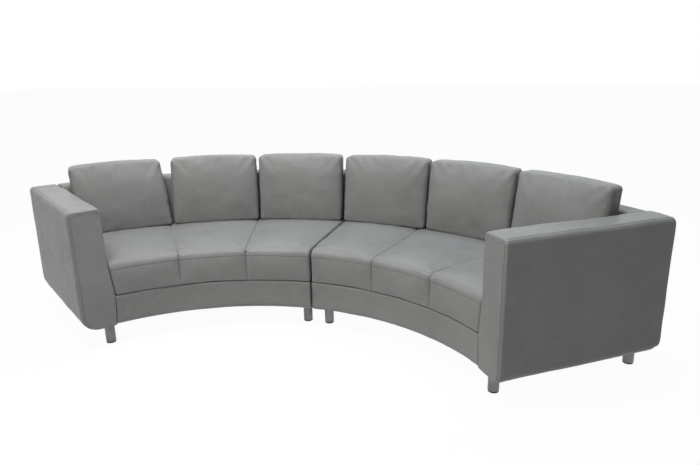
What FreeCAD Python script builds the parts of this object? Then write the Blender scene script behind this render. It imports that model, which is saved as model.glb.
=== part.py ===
import FreeCAD, Part
import math
import os

from FreeCAD import Vector

os.makedirs("parts", exist_ok=True)

# A curved sofa in two mirrored sections that meet at the middle of the arc.
# All sizes are in millimetres and degrees. The right section is built about the
# arc's centre, with +Y towards the middle of the back, and then mirrored.

# Plan of the arc
FRONT_RADIUS = 1140.0
BACK_RADIUS = 1945.0
HALF_ANGLE = 50.2
ARM_TURN = 4.1
ARM_WIDTH = 150.0
SEAM_GAP = 10.0

# Heights above the floor
COVER_BOTTOM = 106.0
RAIL_TOP = 257.0
SEAT_HEIGHT = 430.0
ARM_HEIGHT = 700.0
CUSHION_TOP = 806.0

# Padded leather covers
WALL = 14.0
SEAM_WALL = 3.0
FLAP = 19.0
TOP_FLAP = 55.0
ARM_PANEL = 16.0
FLARE = 18.0
FLARE_AT_BOTTOM = 22.0
OUTER_ROUND = 22.0
INNER_ROUND = 20.0
LOW_ROUND = 18.0
ARM_REAR_BEVEL = 10.0
ARM_LOW_ROUND = 54.0
ARM_FLAP_EDGE = ARM_WIDTH - ARM_LOW_ROUND - 1

# Backrest
BACKREST_DEPTH = 177.0
BACKREST_INNER_RADIUS = BACK_RADIUS - BACKREST_DEPTH
BACKREST_LEAN = 8.2

# Wooden frame
BOARD = 28.0
SLAB = 25.0
RIB_HEIGHT = 80.0
TOP_RAIL_HEIGHT = 24.0
ARM_BOARD = 18.0
BLOCK_HEIGHT = 40.0
RIB_ANGLES = (16.7, 33.4)
POST_ANGLES = (16.7, 33.4, 49.3)

# Suspension and underside
SPRING_WIRE = 4.0
SPRING_HALF_WIDTH = 20.0
SPRING_TURNS = 12
SPRING_ANGLES = (5.0, 12.5, 21.0, 29.0, 38.0)
SPRING_DROP = 12.0
CLIP_DEPTH = 14.0
CLIP_HALF_WIDTH = 13.0
CLIP_HEIGHT = 14.0
DECK_THICKNESS = 10.0
WEBBING = 2.5
WEBBING_WIDTH = 60.0
WEBBING_LOW = 300.0
WEBBING_TOP = ARM_HEIGHT - 140.0
WEBBING_HEIGHTS = (WEBBING_LOW, (WEBBING_LOW + WEBBING_TOP) / 2, WEBBING_TOP)
DUST_COVER = 1.0

# Legs and their fixings
LEG_DIAMETER = 48.0
LEG_WALL = 2.5
LEG_CAP = 7.0
GLIDE_HEIGHT = 8.0
GLIDE_SPIGOT = 12.0
STUD_RADIUS = 5.0
STUD_LENGTH = 40.0
NUT_RADIUS = 7.5
NUT_FLANGE_RADIUS = 12.0
NUT_FLANGE = 1.5
NUT_LENGTH = 12.0
FRONT_ARM_LEG = (14.0, 66.0)
BACK_ARM_LEG_OUT = 25.0
SEAM_LEG_SIDE = 60.0
SEAM_LEG_RADIUS = 1245.0

# Bracket pair that holds the two sections together
BRACKET_RADII = (1400.0, 1747.0)
BRACKET_HALF_WIDTH = 22.0
BRACKET_LENGTH = 70.0
BRACKET_PLATE = 3.0
BRACKET_SLEEVE = 40.0
BRACKET_HEIGHT = 10.0
TONGUE_THICKNESS = 2.5
TONGUE_REACH = 40.0
TONGUE_PLAY = 0.5
SCREW_RADIUS = 2.0
SCREW_HEAD_RADIUS = 4.5
SCREW_HEAD = 2.5
SCREW_LENGTH = 20.0

# Seat cushion
SEAT_SIDE_GAP = 2.5
SEAT_FRONT_RADIUS = 1139.0
SEAT_FRONT_ROUND = 38.0
SEAT_SMALL_ROUND = 10.0
SEAT_EDGE_ROUND = 14.0
SEAT_CROWN = 15.0
SEAT_GROOVE = 7.0
SEAT_GROOVE_HALF_WIDTH = 9.0
SEAT_PANELS = 3
SEAT_FLAT_REAR = 85.0

# Back cushions
CUSHION_ANGLES = (8.5, 25.3, 42.1)
CUSHION_HALF_WIDTH = 246.5
CUSHION_SPREAD = 5.0
CUSHION_FRONT = 1687.0
CUSHION_LEAN = 7.9
CUSHION_ROUND = 17.0
CUSHION_EDGE_ROUND = 16.0
CUSHION_CROWN = 26.0
CUSHION_TOP_CROWN = 8.0

# Leather and lining around each foam core
CUSHION_SKIN = 10.0

# Clearances: between fitted pieces, and past a form that a cut has to clear
FIT = 0.3
PAST = 10.0

# Worked out from the sizes above
SWEEP = 75.0
FAR = 3.0 * BACK_RADIUS
NEAR = 0.5 * FRONT_RADIUS
ARM_DIRECTION = math.radians(HALF_ANGLE + ARM_TURN)
ARM_OUT = Vector(math.cos(ARM_DIRECTION), -math.sin(ARM_DIRECTION), 0)
ARM_BACK = Vector(math.sin(ARM_DIRECTION), math.cos(ARM_DIRECTION), 0)
UP = Vector(0, 0, 1)
FRAME_BOTTOM = COVER_BOTTOM + WALL
FRAME_TOP = RAIL_TOP - WALL - FIT
DUST_BOTTOM = FRAME_BOTTOM - DUST_COVER
SEAM_FACE = SEAM_GAP / 2
FRAME_SEAM = SEAM_FACE + SEAM_WALL + FIT
FRONT_RAIL_RADIUS = FRONT_RADIUS + WALL + FIT
REAR_RAIL_RADIUS = BACKREST_INNER_RADIUS + WALL - 2
OUTER_FRAME_RADIUS = BACK_RADIUS - WALL - FIT
FLAP_RADIUS = BACK_RADIUS - FLAP
TOP_INSIDE = ARM_HEIGHT - WALL - FIT


def polar(radius, angle, z=0.0):
    turn = math.radians(angle)
    return Vector(radius * math.sin(turn), radius * math.cos(turn), z)


ARM_CORNER = polar(FRONT_RADIUS, HALF_ANGLE)


def arm_point(out, back, z=0.0):
    """A point given from the arm's inner front corner."""
    return ARM_CORNER + ARM_OUT * out + ARM_BACK * back + UP * z


def back_at_radius(out, radius):
    """How far back a line along the arm, at this distance out, meets a radius."""
    start = arm_point(out, 0)
    along = start.dot(ARM_BACK)
    return -along + math.sqrt(along ** 2 - start.dot(start) + radius ** 2)


def backrest_radius(z):
    """Radius of the backrest's leaning inner face at a height."""
    return BACKREST_INNER_RADIUS + (z - RAIL_TOP) * math.tan(math.radians(BACKREST_LEAN))


def outline(corners, place, bulges=None):
    """Closed wire of lines and corner arcs from (a, b, radius) corners.

    bulges gives, by corner number, how far the side after that corner swells.
    """
    bulges = bulges or {}
    count = len(corners)
    starts, middles, ends = [], [], []
    for number, (a, b, radius) in enumerate(corners):
        here = Vector(a, b, 0)
        before = Vector(*corners[number - 1][:2], 0) - here
        after = Vector(*corners[(number + 1) % count][:2], 0) - here
        before.normalize()
        after.normalize()
        half = before.getAngle(after) / 2
        reach = radius / math.tan(half)
        starts.append(here + before * reach)
        ends.append(here + after * reach)
        if radius:
            bisector = before + after
            bisector.normalize()
            middles.append(here + bisector * (radius / math.sin(half) - radius))
        else:
            middles.append(here)
    edges = []
    for number in range(count):
        start, middle, end = [place(p.x, p.y) for p in (starts[number], middles[number], ends[number])]
        if corners[number][2]:
            edges.append(Part.Arc(start, middle, end).toShape())
        following = starts[(number + 1) % count]
        stop = place(following.x, following.y)
        if number in bulges:
            run = following - ends[number]
            crest = (following + ends[number]) / 2
            crest += Vector(-run.y, run.x, 0).normalize() * bulges[number]
            edges.append(Part.Arc(end, place(crest.x, crest.y), stop).toShape())
        else:
            edges.append(Part.LineSegment(end, stop).toShape())
    return Part.Wire(edges)


def ring(corners):
    """Solid of a (radius, z) profile swept round the arc's centre from the seam."""
    profile = outline(corners, lambda radius, z: Vector(0, radius, z))
    return Part.Face(profile).revolve(Vector(), Vector(0, 0, -1), SWEEP)


def plain_ring(low_radius, high_radius, low, high):
    return ring([(low_radius, low, 0), (low_radius, high, 0), (high_radius, high, 0), (high_radius, low, 0)])


def box(x0, x1, y0, y1, z0, z1):
    return Part.makeBox(x1 - x0, y1 - y0, z1 - z0, Vector(x0, y0, z0))


def arm_prism(corners, front, back):
    """Solid of an (out, z) profile pushed along the arm."""
    profile = outline(corners, lambda out, z: arm_point(out, front, z))
    return Part.Face(profile).extrude(ARM_BACK * (back - front))


def arm_box(out0, out1, back0, back1, z0, z1):
    return arm_prism([(out0, z0, 0), (out0, z1, 0), (out1, z1, 0), (out1, z0, 0)], back0, back1)


def arm_profile(inset):
    """Front view of the arm, or of its cavity at an inset."""
    return [
        (-FLARE_AT_BOTTOM + inset, COVER_BOTTOM + inset, 0),
        (-FLARE + inset, RAIL_TOP, 0),
        (inset, SEAT_HEIGHT, 0),
        (inset, ARM_HEIGHT - inset, INNER_ROUND - inset),
        (ARM_WIDTH - inset, ARM_HEIGHT - inset, OUTER_ROUND - inset),
        (ARM_WIDTH - inset, COVER_BOTTOM + inset, ARM_LOW_ROUND - inset),
    ]


def beyond_arm(gap):
    """Everything past the arm's inner face, grown towards the seat by a gap."""
    corners = [
        (-FLARE_AT_BOTTOM - gap, -PAST, 0),
        (-FLARE_AT_BOTTOM - gap, COVER_BOTTOM, 0),
        (-FLARE - gap, RAIL_TOP, 0),
        (-gap, SEAT_HEIGHT, 0),
        (-gap, 2 * ARM_HEIGHT, 0),
        (FAR, 2 * ARM_HEIGHT, 0),
        (FAR, -PAST, 0),
    ]
    return arm_prism(corners, -NEAR / 2, FAR)


def before_seam(x):
    return box(-FAR, x, -FAR, FAR, -PAST, 2 * ARM_HEIGHT)


def beyond_board(out):
    """Everything past a vertical plane along the arm."""
    return arm_box(out, FAR, -NEAR / 2, FAR, -PAST, 2 * ARM_HEIGHT)


def radial_slab(angle, corners):
    """Upright board on a radius, SLAB thick, from a (radius, z) profile."""
    profile = outline(corners, lambda radius, z: Vector(-SLAB / 2, radius, z))
    slab = Part.Face(profile).extrude(Vector(SLAB, 0, 0))
    slab.rotate(Vector(), UP, -angle)
    return slab


def seam_slab(corners):
    """The same board against the seam, drawn in by the arc's sag."""
    sag = corners[0][0] - math.sqrt(corners[0][0] ** 2 - (FRAME_SEAM + SLAB) ** 2)
    drawn = [(radius - sag, z, corner) for radius, z, corner in corners]
    profile = outline(drawn, lambda radius, z: Vector(FRAME_SEAM, radius, z))
    return Part.Face(profile).extrude(Vector(SLAB, 0, 0))


def rod(centre, radius, low, high):
    return Part.makeCylinder(radius, high - low, Vector(centre.x, centre.y, low))


def leg_places():
    back = back_at_radius(BACK_ARM_LEG_OUT, FLAP_RADIUS - LEG_DIAMETER / 2 - FIT)
    hidden = FLAP_RADIUS - LEG_DIAMETER / 2 - FIT
    return [
        arm_point(*FRONT_ARM_LEG),
        arm_point(BACK_ARM_LEG_OUT, back),
        Vector(SEAM_LEG_SIDE, math.sqrt(SEAM_LEG_RADIUS ** 2 - SEAM_LEG_SIDE ** 2), 0),
        Vector(SEAM_LEG_SIDE, math.sqrt(hidden ** 2 - SEAM_LEG_SIDE ** 2), 0),
    ]


def screw_places():
    across = BRACKET_HALF_WIDTH / 2
    x = SEAM_FACE + BRACKET_SLEEVE + (BRACKET_LENGTH - BRACKET_SLEEVE) / 2
    return [Vector(x, radius + side, 0) for radius in BRACKET_RADII for side in (-across, across)]


def fixing_holes():
    """Room for each stud, tee nut and screw in what they pass through."""
    top = FRAME_BOTTOM + BLOCK_HEIGHT
    holes = []
    for place in leg_places():
        holes.append(rod(place, STUD_RADIUS + FIT, DUST_BOTTOM - PAST, top + PAST))
        holes.append(rod(place, NUT_RADIUS + FIT, top - NUT_LENGTH, top))
        holes.append(rod(place, NUT_FLANGE_RADIUS + FIT, top, top + NUT_FLANGE + PAST))
    for place in screw_places():
        holes.append(rod(place, SCREW_RADIUS + FIT, DUST_BOTTOM - PAST, DUST_BOTTOM + SCREW_LENGTH + FIT))
    return holes


HOLES = fixing_holes()


def drilled(shape):
    return shape.cut(HOLES)


def front_rail():
    rail = plain_ring(FRONT_RAIL_RADIUS, FRONT_RAIL_RADIUS + BOARD, FRAME_BOTTOM, FRAME_TOP)
    behind_panel = arm_box(-FLARE_AT_BOTTOM - FIT, FAR, -NEAR, ARM_PANEL + FIT, 0, ARM_HEIGHT)
    return drilled(rail.cut([before_seam(FRAME_SEAM), beyond_board(WALL + FIT), behind_panel]))


def rear_seat_rail():
    rail = plain_ring(REAR_RAIL_RADIUS, REAR_RAIL_RADIUS + BOARD, FRAME_BOTTOM, FRAME_TOP)
    return rail.cut([before_seam(FRAME_SEAM), beyond_board(WALL + FIT)])


def back_rail():
    low = OUTER_FRAME_RADIUS - BOARD
    rail = plain_ring(low, OUTER_FRAME_RADIUS, FRAME_BOTTOM, FRAME_BOTTOM + RIB_HEIGHT)
    return drilled(rail.cut([before_seam(FRAME_SEAM), beyond_board(WALL + FIT)]))


def back_top_rail():
    low = TOP_INSIDE - TOP_RAIL_HEIGHT
    rail = plain_ring(backrest_radius(TOP_INSIDE) + WALL + FIT, OUTER_FRAME_RADIUS, low, TOP_INSIDE)
    return rail.cut([before_seam(FRAME_SEAM), beyond_arm(FIT)])


def cross_ribs():
    """Boards that tie the front rail to the rear seat rail."""
    low = FRONT_RAIL_RADIUS + BOARD + FIT
    high = REAR_RAIL_RADIUS - FIT
    top = FRAME_BOTTOM + RIB_HEIGHT
    corners = [(low, FRAME_BOTTOM, 0), (low, top, 0), (high, top, 0), (high, FRAME_BOTTOM, 0)]
    bay = plain_ring(low, high, FRAME_BOTTOM, top)
    ribs = [radial_slab(angle, corners).common(bay) for angle in RIB_ANGLES]
    seam_corners = [(radius + PAST * (radius < high), z, corner) for radius, z, corner in corners]
    ribs.append(drilled(seam_slab(seam_corners).common(bay)))
    return Part.makeCompound(ribs)


def back_posts():
    """Uprights whose front edge carries the webbing at the backrest's lean."""
    foot = REAR_RAIL_RADIUS + BOARD + FIT
    step = OUTER_FRAME_RADIUS - BOARD - FIT
    rail_top = FRAME_BOTTOM + RIB_HEIGHT + FIT
    seat_top = RAIL_TOP - WALL
    top = TOP_INSIDE - TOP_RAIL_HEIGHT
    skin = WALL + FIT + WEBBING + FIT
    corners = [
        (OUTER_FRAME_RADIUS, rail_top, 0),
        (OUTER_FRAME_RADIUS, top, 0),
        (backrest_radius(top) + skin, top, 0),
        (backrest_radius(seat_top) + skin, seat_top, 0),
        (foot, seat_top, 0),
        (foot, FRAME_BOTTOM, 0),
        (step, FRAME_BOTTOM, 0),
        (step, rail_top, 0),
    ]
    room = plain_ring(NEAR, OUTER_FRAME_RADIUS - FIT, FRAME_BOTTOM, top)
    posts = [radial_slab(angle, corners).common(room) for angle in POST_ANGLES]
    posts.append(seam_slab(corners))
    lower_rails = plain_ring(REAR_RAIL_RADIUS - FIT, foot - FIT / 2, FRAME_BOTTOM, FRAME_TOP)
    return Part.makeCompound([post.cut(lower_rails) for post in posts])


def bearer_blocks():
    """Blocks over the legs and the brackets, glued against the rails and ribs."""
    top = FRAME_BOTTOM + BLOCK_HEIGHT
    half = LEG_DIAMETER * 0.75
    start = FRAME_SEAM + SLAB + FIT
    stop = SEAM_LEG_SIDE + half
    front_limit = FRONT_RAIL_RADIUS + BOARD + FIT
    bay = plain_ring(front_limit, REAR_RAIL_RADIUS - FIT, FRAME_BOTTOM, top)
    rear_bay = plain_ring(REAR_RAIL_RADIUS + BOARD + FIT, OUTER_FRAME_RADIUS - BOARD - FIT, FRAME_BOTTOM, top)
    front_back = FRONT_ARM_LEG[1]
    arm_leg_back = back_at_radius(BACK_ARM_LEG_OUT, FLAP_RADIUS - LEG_DIAMETER / 2 - FIT)
    arm_board = WALL + FIT
    front_low = front_back - half
    front_high = front_back + half
    back_low = arm_leg_back - half
    back_high = arm_leg_back + half / 2
    out_low = arm_board + ARM_BOARD + FIT
    out_high = out_low + 1.5 * half
    rear_low = OUTER_FRAME_RADIUS - BOARD - 2 * half
    blocks = [
        arm_box(arm_board - 2 * half, arm_board - FIT, front_low, front_high, FRAME_BOTTOM, top).common(bay),
        arm_box(out_low, out_high, back_low, back_high, FRAME_BOTTOM + ARM_BOARD, top),
        box(start, stop, SEAM_LEG_RADIUS - 2 * half, SEAM_LEG_RADIUS + half, FRAME_BOTTOM, top).common(bay),
        box(start, stop, rear_low, OUTER_FRAME_RADIUS, FRAME_BOTTOM, top).common(rear_bay),
    ]
    for radius in BRACKET_RADII:
        low = radius - BRACKET_HALF_WIDTH - FIT
        high = radius + BRACKET_HALF_WIDTH + FIT
        blocks.append(box(start, SEAM_FACE + BRACKET_LENGTH + PAST, low, high, FRAME_BOTTOM, top).common(bay))
    return Part.makeCompound([drilled(block) for block in blocks])


def arm_frame():
    """Two side boards with a floor, a front, a rear and a top board between them."""
    front = ARM_PANEL + FIT
    back = back_at_radius(ARM_WIDTH - WALL - FIT, OUTER_FRAME_RADIUS) - 2 * FIT
    inner = WALL + FIT
    outer = ARM_WIDTH - WALL - FIT
    outer_low = COVER_BOTTOM + ARM_LOW_ROUND
    low_side = ARM_WIDTH - ARM_LOW_ROUND
    middle_low = inner + ARM_BOARD + FIT
    middle_high = outer - ARM_BOARD - FIT
    floor_top = FRAME_BOTTOM + ARM_BOARD
    roof = TOP_INSIDE - ARM_BOARD
    boards = [
        arm_box(inner, inner + ARM_BOARD, front, back, FRAME_BOTTOM, TOP_INSIDE),
        arm_box(outer - ARM_BOARD, outer, front, back, outer_low, TOP_INSIDE - OUTER_ROUND + WALL),
        arm_box(middle_low, low_side, front, back, FRAME_BOTTOM, floor_top),
        arm_box(middle_low, middle_high, front, back, roof, TOP_INSIDE),
        arm_box(middle_low, middle_high, front, front + ARM_BOARD, outer_low, roof),
        arm_box(middle_low, middle_high, back - ARM_BOARD, back, outer_low, roof),
    ]
    top_low = TOP_INSIDE - ARM_BOARD / 2
    top_corner = arm_box(inner - FIT, inner + ARM_BOARD / 2, front, back, top_low, TOP_INSIDE + PAST)
    boards[0] = boards[0].cut(top_corner)
    return Part.makeCompound([drilled(board) for board in boards])


def spring_ends():
    front = FRONT_RAIL_RADIUS + BOARD + CLIP_DEPTH / 2
    rear = REAR_RAIL_RADIUS - CLIP_DEPTH / 2
    return front, rear, FRAME_TOP - SPRING_DROP


def one_spring():
    """Flat serpentine spring: straight bars joined by half turns."""
    front, rear, z = spring_ends()
    pitch = (rear - front) / SPRING_TURNS
    edges = []
    side = -SPRING_HALF_WIDTH
    for turn in range(SPRING_TURNS + 1):
        radius = front + pitch * turn
        edges.append(Part.LineSegment(Vector(side, radius, z), Vector(-side, radius, z)).toShape())
        side = -side
        if turn < SPRING_TURNS:
            swell = Vector(side + math.copysign(pitch / 2, side), radius + pitch / 2, z)
            bend = Part.Arc(Vector(side, radius, z), swell, Vector(side, radius + pitch, z))
            edges.append(bend.toShape())
    path = Part.Wire(edges)
    start = Vector(-SPRING_HALF_WIDTH, front, z)
    section = Part.Wire(Part.makeCircle(SPRING_WIRE / 2, start, Vector(1, 0, 0)))
    sweep = Part.BRepOffsetAPI.MakePipeShell(path)
    sweep.add(section)
    sweep.build()
    sweep.makeSolid()
    return sweep.shape()


def seat_springs():
    spring = one_spring()
    return Part.makeCompound([spring.rotated(Vector(), UP, -angle) for angle in SPRING_ANGLES])


def spring_clips():
    front, rear, z = spring_ends()
    reach = CLIP_DEPTH / 2 - FIT
    half = CLIP_HALF_WIDTH
    low = z - CLIP_HEIGHT / 2
    high = z + CLIP_HEIGHT / 2
    clips = []
    for angle in SPRING_ANGLES:
        for radius in (front, rear):
            clip = box(-half, half, radius - reach, radius + reach, low, high)
            start = Vector(-2 * half, radius, z)
            bore = Part.makeCylinder(SPRING_WIRE / 2 + FIT, 4 * half, start, Vector(1, 0, 0))
            clips.append(clip.cut(bore).rotated(Vector(), UP, -angle))
    return Part.makeCompound(clips)


def deck_pad():
    """Felt over the springs that the seat cushion lies on."""
    bottom = RAIL_TOP - DECK_THICKNESS
    pad = plain_ring(FRONT_RADIUS + TOP_FLAP + FIT, backrest_radius(bottom) - FIT, bottom, RAIL_TOP)
    return pad.cut([before_seam(FRAME_SEAM), beyond_arm(FIT)])


def back_webbing():
    """Elastic bands across the posts, behind the leaning leather."""
    bands = []
    for low in WEBBING_HEIGHTS:
        high = low + WEBBING_WIDTH
        near = WALL + FIT
        far = near + WEBBING
        band = ring([
            (backrest_radius(low) + near, low, 0),
            (backrest_radius(high) + near, high, 0),
            (backrest_radius(high) + far, high, 0),
            (backrest_radius(low) + far, low, 0),
        ])
        bands.append(band.cut([before_seam(FRAME_SEAM), beyond_arm(FIT)]))
    return Part.makeCompound(bands)


def dust_cover():
    """Thin cloth that closes the underside."""
    sheet = plain_ring(FRONT_RADIUS + WALL + FLAP, FLAP_RADIUS - FIT, DUST_BOTTOM, FRAME_BOTTOM)
    side = arm_box(ARM_FLAP_EDGE - FIT, FAR, -NEAR, FAR, 0, RAIL_TOP)
    front = arm_box(-FLARE_AT_BOTTOM - FIT, FAR, -NEAR, ARM_PANEL + FIT, 0, RAIL_TOP)
    return drilled(sheet.cut([before_seam(FRAME_SEAM), side, front]))


def front_cover():
    """Padded leather over the front rail, wrapped over its top and under it."""
    inside = FRONT_RADIUS + WALL
    cover = ring([
        (inside + FLAP, COVER_BOTTOM, 0),
        (FRONT_RADIUS, COVER_BOTTOM, OUTER_ROUND),
        (FRONT_RADIUS, RAIL_TOP, SEAT_SMALL_ROUND),
        (FRONT_RADIUS + TOP_FLAP, RAIL_TOP, 0),
        (FRONT_RADIUS + TOP_FLAP, RAIL_TOP - WALL, 0),
        (inside, RAIL_TOP - WALL, 0),
        (inside, FRAME_BOTTOM, 0),
        (inside + FLAP, FRAME_BOTTOM, 0),
    ])
    return cover.cut([before_seam(SEAM_FACE + SEAM_WALL), beyond_board(-FLARE_AT_BOTTOM - FIT)])


def back_cover():
    """Padded leather round the backrest: outer face, top and leaning inner face."""
    low = RAIL_TOP - WALL
    inside_top = ARM_HEIGHT - WALL
    cover = ring([
        (FLAP_RADIUS, COVER_BOTTOM, 0),
        (FLAP_RADIUS, FRAME_BOTTOM, 0),
        (BACK_RADIUS - WALL, FRAME_BOTTOM, 0),
        (BACK_RADIUS - WALL, inside_top, 0),
        (backrest_radius(inside_top) + WALL, inside_top, 0),
        (backrest_radius(low) + WALL, low, 0),
        (backrest_radius(low), low, 0),
        (backrest_radius(ARM_HEIGHT), ARM_HEIGHT, INNER_ROUND),
        (BACK_RADIUS, ARM_HEIGHT, OUTER_ROUND),
        (BACK_RADIUS, COVER_BOTTOM, LOW_ROUND),
    ])
    return cover.cut([before_seam(SEAM_FACE + SEAM_WALL), beyond_arm(FIT)])


def arm_cover():
    """Padded leather over the arm, open in front and underneath."""
    bottom = COVER_BOTTOM - PAST
    front = ARM_PANEL - PAST
    outside = ring([
        (NEAR, COVER_BOTTOM, 0),
        (NEAR, ARM_HEIGHT, 0),
        (BACK_RADIUS, ARM_HEIGHT, OUTER_ROUND),
        (BACK_RADIUS, COVER_BOTTOM + ARM_REAR_BEVEL, 0),
        (BACK_RADIUS - ARM_REAR_BEVEL, COVER_BOTTOM, 0),
    ])
    inside = plain_ring(NEAR, BACK_RADIUS - WALL, FRAME_BOTTOM, ARM_HEIGHT - WALL)
    under = plain_ring(NEAR, FLAP_RADIUS, bottom, FRAME_BOTTOM + PAST)
    body = arm_prism(arm_profile(0), ARM_PANEL, FAR).common(outside)
    cavity = arm_prism(arm_profile(WALL), front, FAR)
    rail_way = arm_box(-3 * FLARE, WALL + FIT, front, FAR, FRAME_BOTTOM, RAIL_TOP - WALL + FIT)
    opening = arm_box(-3 * FLARE, ARM_FLAP_EDGE, front, FAR, bottom, FRAME_BOTTOM + PAST)
    hollow = cavity.fuse(rail_way).common(inside)
    return body.cut(hollow.fuse(opening.common(under)))


def arm_front_panel():
    return arm_prism(arm_profile(0), 0, ARM_PANEL)


def seam_panel():
    """End cover of a section, where the two sections meet."""
    corners = [
        (FRONT_RADIUS + FIT, COVER_BOTTOM + 1, OUTER_ROUND),
        (FRONT_RADIUS + FIT, RAIL_TOP - FIT, SEAT_SMALL_ROUND),
        (backrest_radius(RAIL_TOP), RAIL_TOP - FIT, 0),
        (backrest_radius(ARM_HEIGHT), ARM_HEIGHT - FIT, INNER_ROUND),
        (BACK_RADIUS - FIT, ARM_HEIGHT - FIT, OUTER_ROUND),
        (BACK_RADIUS - FIT, COVER_BOTTOM + 1, LOW_ROUND),
    ]
    profile = outline(corners, lambda radius, z: Vector(SEAM_FACE, radius, z))
    panel = Part.Face(profile).extrude(Vector(SEAM_WALL, 0, 0))
    notches = []
    for radius in BRACKET_RADII:
        half = BRACKET_HALF_WIDTH + FIT
        notches.append(box(-PAST, FAR, radius - half, radius + half, 0, DUST_BOTTOM))
    return panel.cut(notches)


def legs():
    radius = LEG_DIAMETER / 2
    tubes = []
    for place in leg_places():
        tube = rod(place, radius, GLIDE_HEIGHT, DUST_BOTTOM)
        bore = rod(place, radius - LEG_WALL, 0, DUST_BOTTOM - LEG_CAP)
        hole = rod(place, STUD_RADIUS + FIT, 0, FAR)
        tubes.append(tube.cut([bore, hole]))
    return Part.makeCompound(tubes)


def leg_glides():
    radius = LEG_DIAMETER / 2
    glides = []
    for place in leg_places():
        foot = rod(place, radius - 1, 0, GLIDE_HEIGHT)
        foot = foot.makeChamfer(1.0, [edge for edge in foot.Edges if edge.BoundBox.ZMax < 1e-6])
        spigot = rod(place, radius - LEG_WALL - FIT, GLIDE_HEIGHT, GLIDE_HEIGHT + GLIDE_SPIGOT)
        glides.append(foot.fuse(spigot))
    return Part.makeCompound(glides)


def frame_fixings():
    """Leg studs with their tee nuts, and the screws of the brackets."""
    top = FRAME_BOTTOM + BLOCK_HEIGHT
    stud_low = DUST_BOTTOM - LEG_CAP + FIT
    pieces = []
    for place in leg_places():
        pieces.append(rod(place, STUD_RADIUS, stud_low, stud_low + STUD_LENGTH))
        nut = rod(place, NUT_RADIUS, top - NUT_LENGTH + FIT, top)
        nut = nut.fuse(rod(place, NUT_FLANGE_RADIUS, top, top + NUT_FLANGE))
        pieces.append(nut.cut(rod(place, STUD_RADIUS + FIT, 0, FAR)))
    plate_bottom = DUST_BOTTOM - BRACKET_PLATE
    for place in screw_places():
        head = rod(place, SCREW_HEAD_RADIUS, plate_bottom - SCREW_HEAD, plate_bottom)
        pieces.append(head.fuse(rod(place, SCREW_RADIUS, plate_bottom, DUST_BOTTOM + SCREW_LENGTH)))
    return Part.makeCompound(pieces)


def screw_ways():
    return [rod(place, SCREW_RADIUS + FIT, 0, FRAME_TOP) for place in screw_places()]


def connector_sleeves():
    """Steel sleeves under the right section that the tongues slide into."""
    low = DUST_BOTTOM - BRACKET_HEIGHT
    sleeves = []
    for radius in BRACKET_RADII:
        near = radius - BRACKET_HALF_WIDTH
        far = radius + BRACKET_HALF_WIDTH
        start = SEAM_FACE + SEAM_WALL + 1
        end = SEAM_FACE + BRACKET_SLEEVE
        wall = BRACKET_PLATE
        sleeve = box(start, end, near, far, low, DUST_BOTTOM)
        slot = box(0, FAR, near + wall, far - wall, low + wall, DUST_BOTTOM - wall)
        plate = box(end, SEAM_FACE + BRACKET_LENGTH, near, far, DUST_BOTTOM - wall, DUST_BOTTOM)
        sleeves.append(sleeve.cut(slot).fuse(plate).cut(screw_ways()))
    return Part.makeCompound(sleeves)


def connector_tongues():
    """Steel tongues of the other section, drawn here on the right and then mirrored."""
    low = DUST_BOTTOM - BRACKET_HEIGHT + BRACKET_PLATE + TONGUE_PLAY
    plate_low = DUST_BOTTOM - BRACKET_PLATE
    wide = BRACKET_HALF_WIDTH
    half = BRACKET_HALF_WIDTH - BRACKET_PLATE - TONGUE_PLAY
    start = SEAM_FACE + SEAM_WALL + 1
    end = SEAM_FACE + BRACKET_LENGTH
    root = SEAM_FACE + BRACKET_SLEEVE
    tongues = []
    for radius in BRACKET_RADII:
        plate = box(start, end, radius - wide, radius + wide, plate_low, DUST_BOTTOM)
        drop = box(start, root, radius - half, radius + half, low, plate_low)
        blade = box(-TONGUE_REACH, start, radius - half, radius + half, low, low + TONGUE_THICKNESS)
        tongues.append(plate.fuse(drop).fuse(blade).cut(screw_ways()))
    return Part.makeCompound(tongues)


def rounded_edge(distance, radius):
    """How far an edge rounding of this radius draws in at a distance from the side."""
    if distance >= radius:
        return 0.0
    return radius - math.sqrt(radius ** 2 - (radius - distance) ** 2)


def seat_stations():
    """Places along the seat as (share of the width, edge inset, groove, crown share)."""
    width = math.radians(HALF_ANGLE) * SEAT_FRONT_RADIUS
    panel = 1.0 / SEAT_PANELS
    edge_steps = (0.0, SEAT_EDGE_ROUND * 0.3, SEAT_EDGE_ROUND)
    beside = SEAT_GROOVE_HALF_WIDTH / width
    stations = []
    for number in range(SEAT_PANELS):
        start = number * panel
        if number == 0:
            stations += [(step / width, rounded_edge(step, SEAT_EDGE_ROUND), 0.0, 0.1) for step in edge_steps]
        else:
            stations += [(start, 0.0, SEAT_GROOVE, 0.5), (start + beside, 0.0, 0.0, 0.55)]
        stations += [(start + panel * 0.35, 0.0, 0.0, 1.0), (start + panel * 0.65, 0.0, 0.0, 1.0)]
        if number < SEAT_PANELS - 1:
            stations.append((start + panel - beside, 0.0, 0.0, 0.55))
    for step in reversed(edge_steps):
        stations.append((1 - step / width, rounded_edge(step, SEAT_EDGE_ROUND), 0.0, 0.1))
    return stations


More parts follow.
